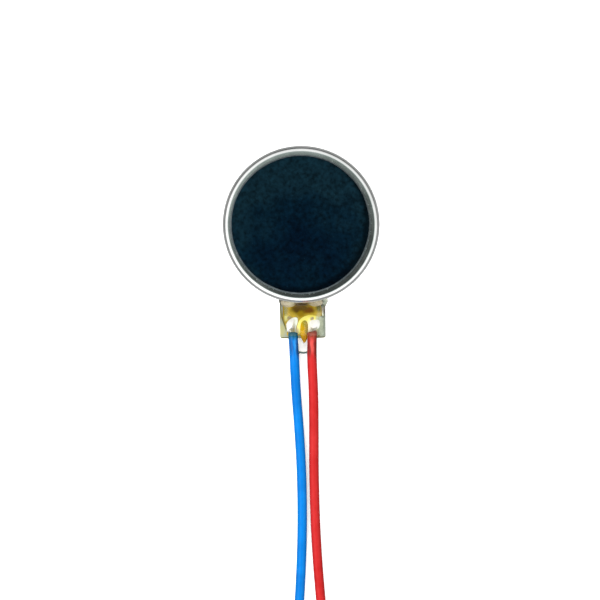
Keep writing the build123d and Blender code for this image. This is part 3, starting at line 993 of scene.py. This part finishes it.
def make_strands(name, route, pad_x, cad_node):
    """Seven twisted tinned strands, pressed flat in the solder joint and splayed a little at the bare tip."""
    pitch, flat_for, splayed_for, step = 2.1 * MM, 0.7 * MM, 0.5 * MM, 0.12 * MM
    bend = beyond(route[1], route[0], 0.1 * MM)
    pad_end = Vector((pad_x, bend.y + 0.46 * MM, trace_top + 0.04 * MM))
    pressed = Vector((pad_x, bend.y + 0.22 * MM, trace_top + 0.07 * MM))
    tip = beyond(route[-2], route[-1], stripped_length)
    middle, places = resample(curve_points([pad_end, pressed, bend] + route[1:-1] + [tip]), step)
    tubes = []
    for strand in range(7):
        line = []
        for place, (point, side, other) in zip(places, squared_to(middle, Vector((1, 0, 0)))):
            splay = 1 + 0.22 * max(0.0, 1 - (places[-1] - place) / splayed_for)
            away = 0.0 if strand == 6 else 2 * strand_radius * splay
            a = tau * (place / pitch + strand / 6)
            spread = 1 + 1.2 * max(0.0, 1 - place / flat_for)
            line.append(point + side * (spread * cos(a) * away) + other * (sin(a) * away / spread))
        tubes.append(tube_mesh(line, strand_radius * 1.03, 8))
    return place_piece(mesh_object(name, *join_meshes(tubes), 60), tinned, "tinned_copper", cad_node)


def make_lead(colour, route, pad_x, material, slot):
    strands = make_strands(colour + "_strands", route, pad_x, colour + "_core")
    lead = nurbs(colour + "_wire", route, lead_radius)
    place_piece(lead, material, slot, colour + "_lead")


# ---- room, light and camera ----


def make_floor():
    """A white table, which looks as bright as lit acrylic but lights the object only as paper would."""
    bpy.ops.mesh.primitive_plane_add(size=1.6, location=(0, 0, -0.02 * MM))
    floor = bpy.context.object
    floor.name = "floor"
    material, paper = surface("floor_white", Roughness=0.9, Specular_IOR_Level=0.0,
                              Base_Color=(0.20, 0.20, 0.20, 1))
    acrylic = node(material, "ShaderNodeBsdfPrincipled", Roughness=0.9, Specular_IOR_Level=0.0,
                   Base_Color=(0.90, 0.90, 0.90, 1), Emission_Color=(1, 1, 1, 1), Emission_Strength=0.40)
    rays = node(material, "ShaderNodeLightPath").outputs
    direct = number_math(material, "MAXIMUM", rays["Is Camera Ray"], rays["Is Transmission Ray"])
    mix = node(material, "ShaderNodeMixShader")
    feed(material, mix.inputs, [direct, paper.outputs[0], acrylic.outputs[0]])
    link(material, mix.outputs[0], material.node_tree.nodes["Material Output"].inputs["Surface"])
    floor.data.materials.append(material)


def tent_light(world, toward, height, steps, strength, lean):
    """Light by height, given as (height, grey level) steps, and stronger on one side by the vector lean. The
    dark top of the tent is a little green."""
    top_from, green, white = 0.96, (0.84, 1.0, 0.95), (1, 1, 1)
    stops = [(at, [value * share for share in (green if at > top_from else white)]) for at, value in steps]
    side = vector_math(world, "DOT_PRODUCT", toward, lean)
    amount = number_math(world, "MULTIPLY_ADD", side, strength, strength)
    return scaled(world, ramp(world, height, stops), amount)


def make_light():
    """A white tent with a dark hole overhead, brightest from the front left, and more evenly lit where it
    is mirrored. The camera sees plain white."""
    world = bpy.data.worlds.new("studio")
    bpy.context.scene.world = world
    world.use_nodes = True
    toward = node(world, "ShaderNodeTexCoord").outputs["Generated"]
    toward_hole = (0.0588, -0.1261, 0.9903)
    up = vector_math(world, "DOT_PRODUCT", toward, toward_hole)
    height = number_math(world, "MULTIPLY_ADD", up, 0.5, 0.5)
    bright = [(0.72, 0.85), (0.76, 1.0), (0.950, 1.0)]
    soft_steps = [(0.52, 0.09), (0.64, 0.14), *bright, (0.972, 0.30), (0.984, 0.10), (0.995, 0.02)]
    mirrored_steps = [(0.52, 0.14), (0.64, 0.21), *bright, (0.972, 0.50), (0.984, 0.19), (0.995, 0.035)]
    soft = tent_light(world, toward, height, soft_steps, 2.9, (-0.58, -0.56, 0.0))
    mirrored = tent_light(world, toward, height, mirrored_steps, 1.4, (-0.12, -0.25, 0.0))
    rays = node(world, "ShaderNodeLightPath").outputs
    reflected = number_math(world, "SUBTRACT", rays["Is Glossy Ray"], rays["Is Transmission Ray"],
                            use_clamp=True)
    lit = mix_colours(world, reflected, soft, mirrored)
    seen = mix_colours(world, rays["Is Camera Ray"], lit, (1, 1, 1, 1))
    link(world, seen, world.node_tree.nodes["Background"].inputs["Color"])


def make_camera():
    """Straight above, through a long lens, turned a degree so that the motor lies a little askew."""
    view_width, at_height = 38.3 * MM, 2 * MM
    view_centre = (-0.148 * MM, -4.818 * MM)
    data = bpy.data.cameras.new("camera")
    data.sensor_width = 36.0
    data.lens = 170.0
    data.clip_start = 5 * MM
    data.clip_end = 5.0
    camera = add_object("camera", data)
    camera.location = (*view_centre, view_width * data.lens / data.sensor_width + at_height)
    camera.rotation_euler = (0, 0, radians(-0.93))
    bpy.context.scene.camera = camera
    bpy.context.scene.view_settings.view_transform = "Standard"


# ---- the scene ----

make_camera()
make_lead("red", red_route, 0.74 * MM, red_pvc, "red_insulation")
make_lead("blue", blue_route, -0.70 * MM, blue_pvc, "blue_insulation")
make_case()
make_base()
make_shaft()
make_pad()
make_crumbs()
make_flex_tail()
make_adhesive()
make_solder("solder_left", "lead_solder_negative", (-0.68, -6.48),
            [(-0.51, -6.02), (-0.49, -6.20), (-0.53, -6.48), (-0.61, -6.74), (-0.84, -6.90), (-1.00, -6.80),
             (-1.00, -6.42), (-0.92, -6.18), (-0.72, -6.03)])
make_solder("solder_right", "lead_solder_positive", (0.72, -6.46),
            [(0.38, -6.15), (0.62, -6.06), (0.93, -6.04), (1.10, -6.20), (1.10, -6.50), (0.96, -6.68),
             (0.78, -6.76), (0.63, -6.92), (0.46, -7.02), (0.42, -6.65)])
make_flux()
make_collars()
make_glue()
dress_hidden_nodes()
make_floor()
make_light()
